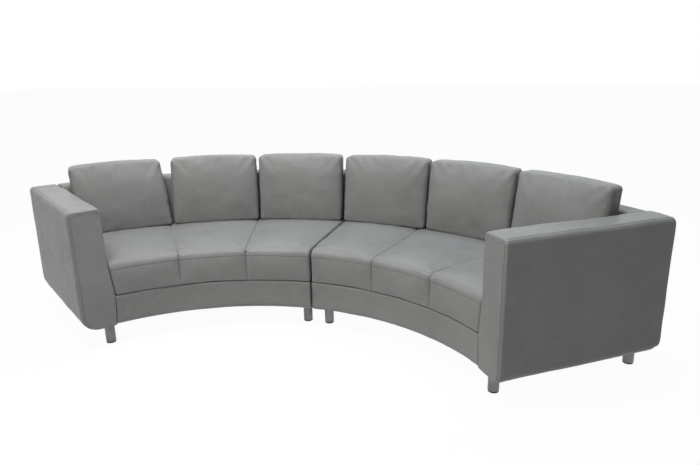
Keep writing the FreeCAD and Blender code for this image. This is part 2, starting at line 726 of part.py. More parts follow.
def seat_section(share, edge, groove, crown, shrink):
    """Closed outline of the seat cushion on an upright plane from front to rear."""
    rear_radius = BACKREST_INNER_RADIUS - FIT
    side = SEAT_SIDE_GAP + shrink
    arm_side = -FIT - shrink
    arm_rear = arm_point(arm_side, back_at_radius(arm_side, rear_radius))
    arm_front = arm_point(arm_side, back_at_radius(arm_side, SEAT_FRONT_RADIUS))
    bearings = []
    for radius, limit in ((SEAT_FRONT_RADIUS, arm_front), (rear_radius, arm_rear)):
        first = math.degrees(math.asin(side / radius))
        last = math.degrees(math.atan2(limit.x, limit.y))
        bearings.append(first + (last - first) * share)
    front = polar(SEAT_FRONT_RADIUS, bearings[0], SEAT_HEIGHT)
    rear = polar(rear_radius, bearings[1], SEAT_HEIGHT)
    along = rear - front
    length = along.Length
    along.normalize()
    slant = FLARE / (SEAT_HEIGHT - RAIL_TOP) * max(0.0, SEAT_PANELS * (share - 1) + 1)
    rise = UP + along.cross(UP) * slant
    inset = shrink + edge
    bottom = RAIL_TOP + FIT - SEAT_HEIGHT + inset
    top = -inset - groove
    low_round = SEAT_SMALL_ROUND - shrink / 2
    corners = [
        (inset + groove, bottom, low_round),
        (inset + groove, top, SEAT_FRONT_ROUND - shrink),
        (length - SEAT_FLAT_REAR, top, 0),
        (length - inset, top, low_round),
        (length - inset, bottom, low_round),
    ]
    return outline(corners, lambda s, z: front + along * s + rise * z, {1: SEAT_CROWN * crown})


def seat_form(shrink):
    sections = [seat_section(*station, shrink) for station in seat_stations()]
    return Part.makeLoft(sections, True, True)


def cushion_form(angle, shrink):
    """Back cushion: flat sides that spread upwards, a crowned front, and a rear on the backrest."""
    low = SEAT_HEIGHT + FIT + shrink
    high = CUSHION_TOP - shrink
    height = CUSHION_TOP - SEAT_HEIGHT
    lean = math.tan(math.radians(CUSHION_LEAN))
    half_width = CUSHION_HALF_WIDTH - shrink
    outward = polar(1, angle)
    across = Vector(outward.y, -outward.x, 0)
    edge_steps = (0.0, CUSHION_EDGE_ROUND * 0.3, CUSHION_EDGE_ROUND)
    shares = [step / half_width - 1 for step in edge_steps] + [-0.6, -0.25, 0.25, 0.6]
    shares += [1 - step / half_width for step in reversed(edge_steps)]
    sections = []
    for share in shares:
        inset = rounded_edge((1 - abs(share)) * half_width, CUSHION_EDGE_ROUND)
        swell = (1 - share ** 2) ** 0.7
        flat_x = share * half_width

        def out_at(z):
            return flat_x * (1 + CUSHION_SPREAD / CUSHION_HALF_WIDTH * (z - SEAT_HEIGHT) / height)

        def rear(z):
            radius = backrest_radius(z) - FIT - shrink - inset
            return math.sqrt(radius ** 2 - out_at(z) ** 2)

        def front(z):
            return CUSHION_FRONT + shrink + inset + (z - SEAT_HEIGHT) * lean

        def place(y, z):
            return outward * y + across * out_at(z) + UP * z

        bottom = low + inset
        top = high - inset
        radius = CUSHION_ROUND - shrink / 2
        corners = [
            (front(bottom), bottom, radius),
            (front(top), top, radius),
            (rear(top), top, radius),
            (rear(bottom), bottom, radius / 2),
        ]
        bulges = {0: 1 + CUSHION_CROWN * swell, 1: 0.5 + CUSHION_TOP_CROWN * swell}
        sections.append(outline(corners, place, bulges))
    return Part.makeLoft(sections, True, True)


def section_nodes():
    """Every piece of one section, by its plain name."""
    seat = seat_form(0)
    pieces = {
        "front_rail": front_rail(),
        "rear_seat_rail": rear_seat_rail(),
        "back_rail": back_rail(),
        "back_top_rail": back_top_rail(),
        "cross_ribs": cross_ribs(),
        "back_posts": back_posts(),
        "bearer_blocks": bearer_blocks(),
        "arm_frame": arm_frame(),
        "seat_springs": seat_springs(),
        "spring_clips": spring_clips(),
        "deck_pad": deck_pad(),
        "back_webbing": back_webbing(),
        "dust_cover": dust_cover(),
        "front_cover": front_cover(),
        "back_cover": back_cover(),
        "arm_cover": arm_cover(),
        "arm_front_panel": arm_front_panel(),
        "seam_panel": seam_panel(),
        "legs": legs(),
        "leg_glides": leg_glides(),
        "frame_fixings": frame_fixings(),
        "seat_cover": seat.cut(seat_form(CUSHION_SKIN)),
        "seat_foam": seat_form(CUSHION_SKIN + FIT),
    }
    for number, angle in enumerate(CUSHION_ANGLES, 1):
        whole = cushion_form(angle, 0)
        pieces[f"back_cushion_{number}"] = whole.cut(cushion_form(angle, CUSHION_SKIN))
        pieces[f"back_foam_{number}"] = cushion_form(angle, CUSHION_SKIN + FIT)
    return pieces


def mirrored(shape):
    return shape.mirror(Vector(), Vector(1, 0, 0))


def main():
    section = section_nodes()
    nodes = {f"right_{name}": shape for name, shape in section.items()}
    nodes.update({f"left_{name}": mirrored(shape) for name, shape in section.items()})
    nodes["right_connector_sleeves"] = connector_sleeves()
    nodes["left_connector_tongues"] = mirrored(connector_tongues())
    back_y = math.sqrt(BACK_RADIUS ** 2 - (SEAM_FACE + SEAM_WALL) ** 2)
    front_y = arm_point(ARM_WIDTH, 0).y
    centring = Vector(0, -(back_y + front_y) / 2, 0)
    for name, shape in nodes.items():
        shape.translate(centring)
        shape.exportStep(f"parts/{name}.step")
        print(name, len(shape.Solids), shape.isValid(), round(shape.Volume / 1000, 1))
    print("arc centre at y", round(centring.y, 3))


main()
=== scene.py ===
import math

import bpy
import numpy as np
from mathutils import Matrix, Vector


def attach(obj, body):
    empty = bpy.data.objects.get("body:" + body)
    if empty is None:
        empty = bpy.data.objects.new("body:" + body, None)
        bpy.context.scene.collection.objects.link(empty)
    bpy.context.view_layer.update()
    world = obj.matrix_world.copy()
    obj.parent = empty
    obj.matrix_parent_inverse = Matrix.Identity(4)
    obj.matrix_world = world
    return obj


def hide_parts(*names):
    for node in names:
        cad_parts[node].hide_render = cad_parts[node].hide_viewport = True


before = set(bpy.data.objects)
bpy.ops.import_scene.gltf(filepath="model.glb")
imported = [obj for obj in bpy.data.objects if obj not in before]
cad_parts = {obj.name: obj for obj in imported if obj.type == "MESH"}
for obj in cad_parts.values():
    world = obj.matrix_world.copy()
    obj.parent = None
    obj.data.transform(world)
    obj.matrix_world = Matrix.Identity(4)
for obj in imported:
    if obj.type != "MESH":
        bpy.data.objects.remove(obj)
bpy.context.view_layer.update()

# Sizes of the CAD model, in metres. The arc's centre lies in front of the sofa.
ARC = np.array([0.0, -1.276448, 0.0])
FRONT_RADIUS = 1.140
BACK_RADIUS = 1.945
HALF_ANGLE = math.radians(50.2)
ARM_DIRECTION = math.radians(54.3)
ARM_WIDTH = 0.150
BOTTOM = 0.106
RAIL_TOP = 0.257
SEAT_HEIGHT = 0.430
ARM_HEIGHT = 0.700
CUSHION_TOP = 0.806
FLARE = 0.018
LEAN = math.tan(math.radians(8.2))
CUSHION_LEAN = math.tan(math.radians(7.9))
SEAM_FACE = 0.005
UP = np.array([0.0, 0.0, 1.0])
OUT = np.array([math.cos(ARM_DIRECTION), -math.sin(ARM_DIRECTION), 0.0])
BACK = np.array([math.sin(ARM_DIRECTION), math.cos(ARM_DIRECTION), 0.0])
CORNER = FRONT_RADIUS * np.array([math.sin(HALF_ANGLE), math.cos(HALF_ANGLE), 0.0])
SIDES = (("right", 1), ("left", -1))


def arm_point(out, back, z):
    """From distances along the arm's own directions to the row frame."""
    level_part = np.multiply.outer(out, OUT) + np.multiply.outer(back, BACK)
    return ARC + CORNER + level_part + np.multiply.outer(z, UP)


def back_at_radius(out, radius):
    """How far back a line along the arm, at this distance out, meets a radius."""
    across = CORNER.dot(OUT) + out
    return np.sqrt(radius ** 2 - across ** 2) - CORNER.dot(BACK)


def inner_slant(z):
    """How far the arm's inner face stands outwards at a height: it flares under the seat."""
    return np.interp(z, [BOTTOM, RAIL_TOP, SEAT_HEIGHT, ARM_HEIGHT], [-0.008, -FLARE, 0, 0])


def backrest_radius(z):
    return 1.768 + (z - RAIL_TOP) * LEAN


# The camera stands where the photograph was taken from.
FOCAL_PIXELS = 592.41
PICTURE_WIDTH = 700
SENSOR_WIDTH = 36
CAMERA_PLACE = (0.99755, -2.79001, 1.33099)
CAMERA_TURNS = (-16.4599, 16.0447, -1.0953)

yaw, pitch, roll = (math.radians(turn) for turn in CAMERA_TURNS)
ahead = Vector((math.sin(yaw) * math.cos(pitch), math.cos(yaw) * math.cos(pitch), -math.sin(pitch)))
level = Vector((math.cos(yaw), -math.sin(yaw), 0))
above = level.cross(ahead)
right = math.cos(roll) * level + math.sin(roll) * above
above = math.cos(roll) * above - math.sin(roll) * level
camera_data = bpy.data.cameras.new("camera")
camera_data.lens = FOCAL_PIXELS * SENSOR_WIDTH / PICTURE_WIDTH
camera_data.sensor_width = SENSOR_WIDTH
camera_data.clip_end = 100
camera = bpy.data.objects.new("camera", camera_data)
facing = Matrix((right, above, -ahead)).transposed().to_4x4()
camera.matrix_world = Matrix.Translation(CAMERA_PLACE) @ facing
bpy.context.collection.objects.link(camera)
bpy.context.scene.camera = camera


# Materials

def new_material(name):
    made = bpy.data.materials.new(name)
    made.use_nodes = True
    return made, made.node_tree.nodes, made.node_tree.links, made.node_tree.nodes["Principled BSDF"]


def node(nodes, kind, **values):
    made = nodes.new(kind)
    for key, value in values.items():
        made.inputs[key.replace("_", " ")].default_value = value
    return made


def object_noise(nodes, links, scale, detail=3.0, distortion=0.0, stretch=(1, 1, 1), offset=(0, 0, 0)):
    """A noise texture in metres on the object, with features about 1 / scale across."""
    coordinates = nodes.new("ShaderNodeTexCoord")
    mapping = nodes.new("ShaderNodeMapping")
    mapping.inputs["Scale"].default_value = stretch
    mapping.inputs["Location"].default_value = offset
    texture = node(nodes, "ShaderNodeTexNoise", Scale=scale, Detail=detail, Distortion=distortion)
    links.new(coordinates.outputs["Object"], mapping.inputs["Vector"])
    links.new(mapping.outputs["Vector"], texture.inputs["Vector"])
    return texture.outputs["Fac"], mapping


def ranged(nodes, links, value, low, high, from_low=0.3, from_high=0.7):
    made = nodes.new("ShaderNodeMapRange")
    for key, number in (("From Min", from_low), ("From Max", from_high), ("To Min", low), ("To Max", high)):
        made.inputs[key].default_value = number
    links.new(value, made.inputs["Value"])
    return made.outputs["Result"]


def mixed(nodes, links, share, first, second):
    made = nodes.new("ShaderNodeMix")
    made.data_type = "RGBA"
    if hasattr(share, "links"):
        links.new(share, made.inputs[0])
    else:
        made.inputs[0].default_value = share
    for socket, value in ((made.inputs[6], first), (made.inputs[7], second)):
        if hasattr(value, "links"):
            links.new(value, socket)
        else:
            socket.default_value = (*value, 1)
    return made.outputs[2]


def bumped(nodes, links, shader, layers):
    """Chains bump layers of (height, strength, distance) into the shader's normal."""
    normal = None
    for height, strength, distance in layers:
        bump = nodes.new("ShaderNodeBump")
        bump.inputs["Strength"].default_value = strength
        bump.inputs["Distance"].default_value = distance
        links.new(height, bump.inputs["Height"])
        if normal:
            links.new(normal, bump.inputs["Normal"])
        normal = bump.outputs["Normal"]
    links.new(normal, shader.inputs["Normal"])


def leather():
    """Grey satin leather: fine pebbled grain, soft creases, and painted shade along the sewn lines."""
    made, nodes, links, shader = new_material("leather_grey")
    broad, mapping = object_noise(nodes, links, 3.5, 4)
    patch, _ = object_noise(nodes, links, 38, 3, 0.6)
    crease, _ = object_noise(nodes, links, 70, 5, 1.4)
    fine, _ = object_noise(nodes, links, 900, 2)
    pores = node(nodes, "ShaderNodeTexVoronoi", Scale=520)
    links.new(mapping.outputs["Vector"], pores.inputs["Vector"])
    grey = mixed(nodes, links, ranged(nodes, links, broad, 0, 1), LEATHER_DARK, LEATHER_LIGHT)
    grey = mixed(nodes, links, ranged(nodes, links, patch, 0, 0.35), grey, LEATHER_WORN)
    seam_shade = nodes.new("ShaderNodeAttribute")
    seam_shade.attribute_name = "seam_shade"
    pore_shade = ranged(nodes, links, pores.outputs["Distance"], 0.12, 0.0, 0.0, 0.45)
    grey = mixed(nodes, links, pore_shade, grey, LEATHER_PORE)
    # Painted shade: a mesh attribute darkens the leather to near black along the seam grooves.
    grey = mixed(nodes, links, seam_shade.outputs["Fac"], grey, LEATHER_SEAM_SHADE)
    links.new(grey, shader.inputs["Base Color"])
    links.new(ranged(nodes, links, patch, 0.33, 0.45), shader.inputs["Roughness"])
    shader.inputs["Specular IOR Level"].default_value = 0.16
    bumped(nodes, links, shader, (
        (crease, 0.35, 0.0012), (pores.outputs["Distance"], 0.35, 0.0004), (fine, 0.2, 0.0002)))
    return made


LEATHER_DARK = (0.172, 0.172, 0.166)
LEATHER_LIGHT = (0.208, 0.209, 0.202)
LEATHER_WORN = (0.228, 0.230, 0.224)
LEATHER_PORE = (0.120, 0.120, 0.115)
# Near-black painted shade laid along the seam grooves.
LEATHER_SEAM_SHADE = (0.030, 0.030, 0.029)


def metal(name, dark, light, rough, brushed=(1, 1, 1), scale=60, bump=0.0001):
    made, nodes, links, shader = new_material(name)
    streak, _ = object_noise(nodes, links, scale, 4, 0, brushed)
    smudge, _ = object_noise(nodes, links, 14, 3, 0.5)
    tone = mixed(nodes, links, ranged(nodes, links, smudge, 0, 1), dark, light)
    links.new(tone, shader.inputs["Base Color"])
    links.new(ranged(nodes, links, streak, *rough), shader.inputs["Roughness"])
    shader.inputs["Metallic"].default_value = 1.0
    bumped(nodes, links, shader, ((streak, 0.25, bump),))
    return made


def fibrous(name, dark, light, scale, rough, stretch=(1, 1, 1), bump=0.0006, sheen=0.0):
    """Cloth, felt, foam or wood: two tones of noise with a matching relief."""
    made, nodes, links, shader = new_material(name)
    fibre, _ = object_noise(nodes, links, scale, 5, 0.8, stretch)
    tone, _ = object_noise(nodes, links, scale / 12, 3, 0.4, stretch, (3, 1, 2))
    base = mixed(nodes, links, ranged(nodes, links, fibre, 0, 1), dark, light)
    base = mixed(nodes, links, ranged(nodes, links, tone, 0, 0.45), base, [c * 0.72 for c in dark])
    links.new(base, shader.inputs["Base Color"])
    links.new(ranged(nodes, links, fibre, *rough), shader.inputs["Roughness"])
    shader.inputs["Sheen Weight"].default_value = sheen
    bumped(nodes, links, shader, ((fibre, 0.6, bump),))
    return made


def woven(name, dark, light, pitch):
    """Webbing or dust cloth: crossing threads."""
    made, nodes, links, shader = new_material(name)
    coordinates = nodes.new("ShaderNodeTexCoord")
    waves = []
    for direction in ("X", "Y", "Z"):
        wave = node(nodes, "ShaderNodeTexWave", Scale=pitch, Distortion=0.6, Detail=1.0)
        wave.bands_direction = direction
        links.new(coordinates.outputs["Object"], wave.inputs["Vector"])
        waves.append(wave.outputs["Fac"])
    thread = waves[0]
    for wave in waves[1:]:
        larger = nodes.new("ShaderNodeMath")
        larger.operation = "MAXIMUM"
        links.new(thread, larger.inputs[0])
        links.new(wave, larger.inputs[1])
        thread = larger.outputs[0]
    fuzz, _ = object_noise(nodes, links, 400, 3)
    base = mixed(nodes, links, thread, dark, light)
    base = mixed(nodes, links, ranged(nodes, links, fuzz, 0, 0.4), base, dark)
    links.new(base, shader.inputs["Base Color"])
    links.new(ranged(nodes, links, fuzz, 0.75, 0.95), shader.inputs["Roughness"])
    bumped(nodes, links, shader, ((thread, 0.5, 0.0005), (fuzz, 0.3, 0.0003)))
    return made


LEATHER = leather()
SATIN = metal("satin_steel", (0.13, 0.13, 0.132), (0.20, 0.20, 0.203), (0.22, 0.34), (1, 1, 0.03), 900)
ZINC = metal("zinc_steel", (0.40, 0.42, 0.44), (0.62, 0.63, 0.62), (0.30, 0.52), scale=160, bump=0.0002)
SPRING = metal("spring_steel", (0.10, 0.10, 0.11), (0.22, 0.22, 0.23), (0.28, 0.5), scale=220)
WOOD = fibrous("frame_wood", (0.36, 0.22, 0.11), (0.60, 0.43, 0.25), 45, (0.5, 0.75), (1, 1, 7), 0.0005)
FELT = fibrous("felt", (0.10, 0.10, 0.105), (0.26, 0.26, 0.27), 420, (0.85, 1.0), bump=0.001, sheen=0.3)
PLASTIC = fibrous("glide_plastic", (0.012, 0.012, 0.012), (0.03, 0.03, 0.03), 600, (0.4, 0.6), bump=0.0001)
WEBBING = woven("webbing", (0.015, 0.015, 0.016), (0.07, 0.07, 0.072), 180)
DUST = woven("dust_cloth", (0.010, 0.010, 0.010), (0.035, 0.035, 0.036), 320)

NODE_FINISH = {
    "front_rail": (WOOD, "wood"), "rear_seat_rail": (WOOD, "wood"), "back_rail": (WOOD, "wood"),
    "back_top_rail": (WOOD, "wood"), "cross_ribs": (WOOD, "wood"), "back_posts": (WOOD, "wood"),
    "bearer_blocks": (WOOD, "wood"), "arm_frame": (WOOD, "wood"), "seat_springs": (SPRING, "spring_steel"),
    "spring_clips": (ZINC, "zinc_steel"), "deck_pad": (FELT, "felt"), "back_webbing": (WEBBING, "webbing"),
    "dust_cover": (DUST, "dust_cloth"), "seam_panel": (LEATHER, "leather"), "legs": (SATIN, "satin_steel"),
    "leg_glides": (PLASTIC, "glide_plastic"), "frame_fixings": (ZINC, "zinc_steel"),
    "connector_tongues": (ZINC, "zinc_steel"), "connector_sleeves": (ZINC, "zinc_steel"),
}
for name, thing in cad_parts.items():
    finish = NODE_FINISH.get(name.split("_", 1)[1], (LEATHER, "leather"))[0]
    if not thing.material_slots:
        thing.data.materials.append(finish)
    for material_slot in thing.material_slots:
        material_slot.material = finish


# Mesh helpers

def places(start, stop, spacing, rounds=(0, 0), lines=(), offsets=(0.0, 0.0025, 0.007)):
    """Places from start to stop, close together in the roundings and beside the seams."""
    kept = [start, stop]
    for end, size, side in ((start, rounds[0], 1), (stop, rounds[1], -1)):
        if size:
            kept += [end + side * size * share for share in (0.06, 0.2, 0.42, 0.7, 1.0)]
    for line in lines:
        kept += [line + side * offset for offset in offsets for side in (-1, 1)]
    kept = sorted({round(place, 6) for place in kept if start <= place <= stop})
    spaced = [kept[0]]
    for place in kept[1:]:
        if place - spaced[-1] > 0.0011:
            spaced.append(place)
    spaced[-1] = stop
    filled = spaced[:1]
    for low, high in zip(spaced, spaced[1:]):
        count = max(1, math.ceil((high - low) / spacing - 0.01))
        filled += [low + (high - low) * step / count for step in range(1, count + 1)]
    return np.array(filled)


def box_faces(counts):
    """Grid places and outward quads of a box's whole surface."""
    surface = np.zeros(counts, bool)
    surface[[0, -1]] = True
    surface[:, [0, -1]] = True
    surface[:, :, [0, -1]] = True
    where = np.argwhere(surface)
    number = np.full(counts, -1)
    number[surface] = np.arange(len(where))
    faces = []
    for grid, turned in (
            (number[0], True), (number[-1], False), (number[:, 0], False),
            (number[:, -1], True), (number[:, :, 0], True), (number[:, :, -1], False)):
        quads = np.stack([grid[:-1, :-1], grid[1:, :-1], grid[1:, 1:], grid[:-1, 1:]], -1).reshape(-1, 4)
        faces.append(quads[:, ::-1] if turned else quads)
    return where, np.concatenate(faces)


def block(along, across, up, ends, corners, shares=((1, 1, 1, 1), (1, 1, 1, 1))):
    """Surface of a block with rounded edges: (rounded places, places before rounding, faces).

    ends are the edge roundings at the first and last place along; shares says how much of each
    reaches the low across, high across, low up and high up sides. corners are the roundings of
    the profile at (low, low), (low, high), (high, high) and (high, low) of across and up.
    """
    where, faces = box_faces((len(along), len(across), len(up)))
    x, y, z = along[where[:, 0]], across[where[:, 1]], up[where[:, 2]]
    raw = np.stack([x, y, z], -1)
    insets = [np.zeros(len(x)) for _ in range(4)]
    for end, size, share, side in ((along[0], ends[0], shares[0], 1), (along[-1], ends[1], shares[1], -1)):
        if not size:
            continue
        depth = np.clip(size - side * (x - end), 0, size)
        drop = size - np.sqrt(np.maximum(size ** 2 - depth ** 2, 0))
        for number in range(4):
            insets[number] = insets[number] + drop * share[number]
    low_y, high_y = across[0] + insets[0], across[-1] - insets[1]
    low_z, high_z = up[0] + insets[2], up[-1] - insets[3]
    y = low_y + (y - across[0]) / (across[-1] - across[0]) * (high_y - low_y)
    z = low_z + (z - up[0]) / (up[-1] - up[0]) * (high_z - low_z)
    for size, edge_y, side_y, edge_z, side_z, inset in (
            (corners[0], low_y, 1, low_z, 1, insets[0]), (corners[1], low_y, 1, high_z, -1, insets[0]),
            (corners[2], high_y, -1, high_z, -1, insets[1]), (corners[3], high_y, -1, low_z, 1, insets[1])):
        radius = np.maximum(size - inset * 0.7, 0.0015)
        far_y = np.clip(radius - side_y * (y - edge_y), 0, radius)
        far_z = np.clip(radius - side_z * (z - edge_z), 0, radius)
        both = (far_y > 1e-9) & (far_z > 1e-9)
        length = np.where(both, np.hypot(far_y, far_z), 1.0)
        factor = np.where(both, np.maximum(far_y, far_z) / length, 1.0)
        y = np.where(both, edge_y + side_y * (radius - far_y * factor), y)
        z = np.where(both, edge_z + side_z * (radius - far_z * factor), z)
    return np.stack([x, y, z], -1), raw, faces


def traced(corners, spacing):
    """Closed polyline of (a, b, rounding) corners: places, and the number of the side each is on."""
    count = len(corners)
    found, sides, cuts = [], [], []
    for number, (a, b, size) in enumerate(corners):
        here = np.array([a, b])
        before = np.array(corners[number - 1][:2]) - here
        after = np.array(corners[(number + 1) % count][:2]) - here
        before /= np.linalg.norm(before)
        after /= np.linalg.norm(after)
        half = math.acos(np.clip(before.dot(after), -1, 1)) / 2
        reach = size / math.tan(half)
        middle = (before + after) / max(np.linalg.norm(before + after), 1e-9)
        centre = here + middle * size / math.sin(half)
        cuts.append((here + before * reach, here + after * reach, centre, size))
    for number in range(count):
        start, stop, centre, size = cuts[number]
        if size:
            first, last = start - centre, stop - centre
            turn = math.acos(np.clip(first.dot(last) / size ** 2, -1, 1))
            for step in range(1, 6):
                share = step / 6
                spoke = math.sin((1 - share) * turn) * first + math.sin(share * turn) * last
                found.append(centre + spoke / math.sin(turn))
                sides.append(number - 0.5)
        following = cuts[(number + 1) % count][0]
        length = np.linalg.norm(following - stop)
        steps = max(1, math.ceil(length / spacing))
        for step in range(steps + (1 if cuts[(number + 1) % count][3] else 0)):
            found.append(stop + (following - stop) * step / steps)
            sides.append(number)
    return np.array(found), np.array(sides)


def sweep(profile, stations):
    """Grid of a closed profile at every station: station share, place in the profile, and faces."""
    count, length = len(profile), len(stations)
    number = np.arange(count * length).reshape(length, count)
    following = np.roll(number, -1, axis=1)
    quads = np.stack([number[:-1], following[:-1], following[1:], number[1:]], -1).reshape(-1, 4)
    return np.repeat(stations, count), np.tile(profile, (length, 1)), quads, (number[0], number[-1])


def lattice(points, seed):
    """Repeatable values from -1 to 1 at whole-number places."""
    mixed_up = points.astype(np.int64) * np.array([374761393, 668265263, 1274126177]) + seed * 974634777
    value = mixed_up[..., 0] ^ (mixed_up[..., 1] << 3) ^ (mixed_up[..., 2] << 7)
    value = (value ^ (value >> 13)) * 1274126177
    value = (value ^ (value >> 16)) & 0xFFFF
    return value / 32767.5 - 1


def waves(points, size, seed):
    """Smooth noise from about -1 to 1, with features of that size in metres."""
    scaled = points / size
    base = np.floor(scaled)
    part = scaled - base
    part = part * part * part * (part * (part * 6 - 15) + 10)
    total = np.zeros(len(points))
    for corner in np.ndindex(2, 2, 2):
        weight = np.prod(np.where(np.array(corner), part, 1 - part), axis=1)
        total += weight * lattice(base + np.array(corner), seed)
    return total


def stitched(distance, depth=0.0016, width=0.0020, lip=0.0006):
    """Relief across a sewn seam: a narrow groove with a slight swell on both sides."""
    away = np.abs(distance)
    return -depth * np.exp(-(away / width) ** 2) + lip * np.exp(-((away - 0.006) / 0.0035) ** 2)


def corded(distance, rise, width, dip, away, spread):
    """Relief of a sewn-in cord, with a groove on both sides of it."""
    groove = dip * np.exp(-((np.abs(distance) - away) / spread) ** 2)
    return rise * np.exp(-(distance / width) ** 2) - groove


def pucker(distance, run, seed, size=0.0009, reach=0.022, pitch=0.021):
    """Small gathers that fade away from a seam; run is the distance along it."""
    flat = np.zeros((len(run), 3))
    flat[:, 0] = run
    return size * waves(flat, pitch, seed) * np.exp(-np.abs(distance) / reach)


def built(name, points, faces, raw, side, caps=()):
    points = points * np.array([side, 1, 1])
    quads = [face[::-1] if side < 0 else face for face in faces.tolist()]
    quads += [list(cap)[::side] for cap in caps]
    mesh = bpy.data.meshes.new(name)
    mesh.from_pydata(points.tolist(), [], quads)
    mesh.update()
    attribute = mesh.attributes.new("raw", "FLOAT_VECTOR", "POINT")
    attribute.data.foreach_set("vector", raw.astype(np.float32).ravel())
    piece = bpy.data.objects.new(name, mesh)
    bpy.context.collection.objects.link(piece)
    return piece


def read(items, field):
    values = np.zeros(len(items) * 3, np.float32)
    items.foreach_get(field, values)
    return values.reshape(-1, 3).astype(float)


CLOTH_PRESSURE = 2.8
CLOTH_REACH = 0.016
CLOTH_FRAMES = 20


def swell(pieces):
    """Cloth simulation: the leather of these cushions swells over its filling, held at its seams."""
    for piece, pinned in pieces:
        group = piece.vertex_groups.new(name="sewn")
        for weight in (0.35, 0.7, 1.0):
            chosen = np.nonzero(np.abs(pinned - weight) < 0.17)[0].tolist()
            if chosen:
                group.add(chosen, weight, "REPLACE")
        cloth = piece.modifiers.new("leather_cloth", "CLOTH")
        cloth.settings.quality = 4
        cloth.settings.mass = 0.5
        cloth.settings.tension_stiffness = 18
        cloth.settings.compression_stiffness = 18
        cloth.settings.shear_stiffness = 8
        cloth.settings.bending_stiffness = 1.2
        cloth.settings.use_pressure = True
        cloth.settings.uniform_pressure_force = CLOTH_PRESSURE
        cloth.settings.vertex_group_mass = "sewn"
        cloth.settings.effector_weights.gravity = 0
        cloth.collision_settings.use_collision = False
    scene = bpy.context.scene
    for number in range(CLOTH_FRAMES):
        scene.frame_set(number + 1)
    depsgraph = bpy.context.evaluated_depsgraph_get()
    results = [read(piece.evaluated_get(depsgraph).data.vertices, "co") for piece, pinned in pieces]
    for (piece, pinned), result in zip(pieces, results):
        start = read(piece.data.vertices, "co")
        move = result - start
        length = np.maximum(np.linalg.norm(move, axis=1, keepdims=True), 1e-9)
        move *= np.minimum(length, CLOTH_REACH) / length
        piece.modifiers.clear()
        piece.vertex_groups.clear()
        piece.data.vertices.foreach_set("co", (start + move).ravel())
        piece.data.update()
    scene.frame_set(1)


def subdivided(piece):
    modifier = piece.modifiers.new("round", "SUBSURF")
    modifier.levels = 1
    bpy.context.view_layer.update()
    depsgraph = bpy.context.evaluated_depsgraph_get()
    finer = bpy.data.meshes.new_from_object(
        piece.evaluated_get(depsgraph), preserve_all_data_layers=True, depsgraph=depsgraph)
    piece.modifiers.clear()
    piece.data = finer


def detailed(piece, relief):
    """Moves each point along its normal by relief(raw, points), and keeps the painted seam shade as an
    attribute.
    """
    mesh = piece.data
    points = read(mesh.vertices, "co")
    raw = read(mesh.attributes["raw"].data, "vector")
    normal = read(mesh.vertex_normals, "vector")
    amount, seam_shade = relief(raw, points)
    mesh.vertices.foreach_set("co", (points + normal * amount[:, None]).ravel())
    mesh.attributes.remove(mesh.attributes["raw"])
    # The relief's second output is painted shade along the seam grooves, used by the leather's colour.
    attribute = mesh.attributes.new("seam_shade", "FLOAT", "POINT")
    attribute.data.foreach_set("value", np.clip(seam_shade, 0, 1).astype(np.float32))
    mesh.polygons.foreach_set("use_smooth", [True] * len(mesh.polygons))
    mesh.materials.clear()
    mesh.materials.append(LEATHER)
    mesh.update()


def attached(piece, body, nodes):
    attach(piece, body)
    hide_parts(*nodes)


def line(distance, width=0.0016):
    return np.exp(-(distance / width) ** 2)


# Seat cushions: three sewn panels, with a boxed front edge

SEAT_FRONT_RADIUS = 1.139
SEAT_REAR_RADIUS = 1.7672
SEAT_WIDTH = HALF_ANGLE * SEAT_FRONT_RADIUS
SEAT_DEPTH = 0.628
SEAT_LINES = (SEAT_WIDTH / 3, SEAT_WIDTH * 2 / 3)
SEAT_LOW = RAIL_TOP + 0.0005
SEAT_BAND = 0.038
SEAT_EDGE = 0.013


def seat_places(local):
    """From (share of the width, distance from the front, height) to the row frame."""
    share = local[:, 0] / SEAT_WIDTH
    depth = local[:, 1] / SEAT_DEPTH
    arm_side = -0.0008
    ends = []
    for radius in (SEAT_FRONT_RADIUS, SEAT_REAR_RADIUS):
        limit = arm_point(arm_side, back_at_radius(arm_side, radius), 0.0) - ARC
        first = math.asin(0.0035 / radius)
        last = math.atan2(limit[0], limit[1])
        bearing = first + (last - first) * share
        ends.append(radius * np.stack([np.sin(bearing), np.cos(bearing), np.zeros(len(share))], -1))
    run = ends[1] - ends[0]
    along = run / np.linalg.norm(run, axis=1, keepdims=True)
    slant = FLARE / (SEAT_HEIGHT - RAIL_TOP) * np.clip(3 * (share - 1) + 1, 0, None)
    height = local[:, 2] - SEAT_HEIGHT
    sideways = np.stack([along[:, 1], -along[:, 0], np.zeros(len(share))], -1)
    lean = sideways * (slant * np.minimum(height, 0))[:, None]
    return ARC + ends[0] + run * depth[:, None] + lean + UP * local[:, 2:3]


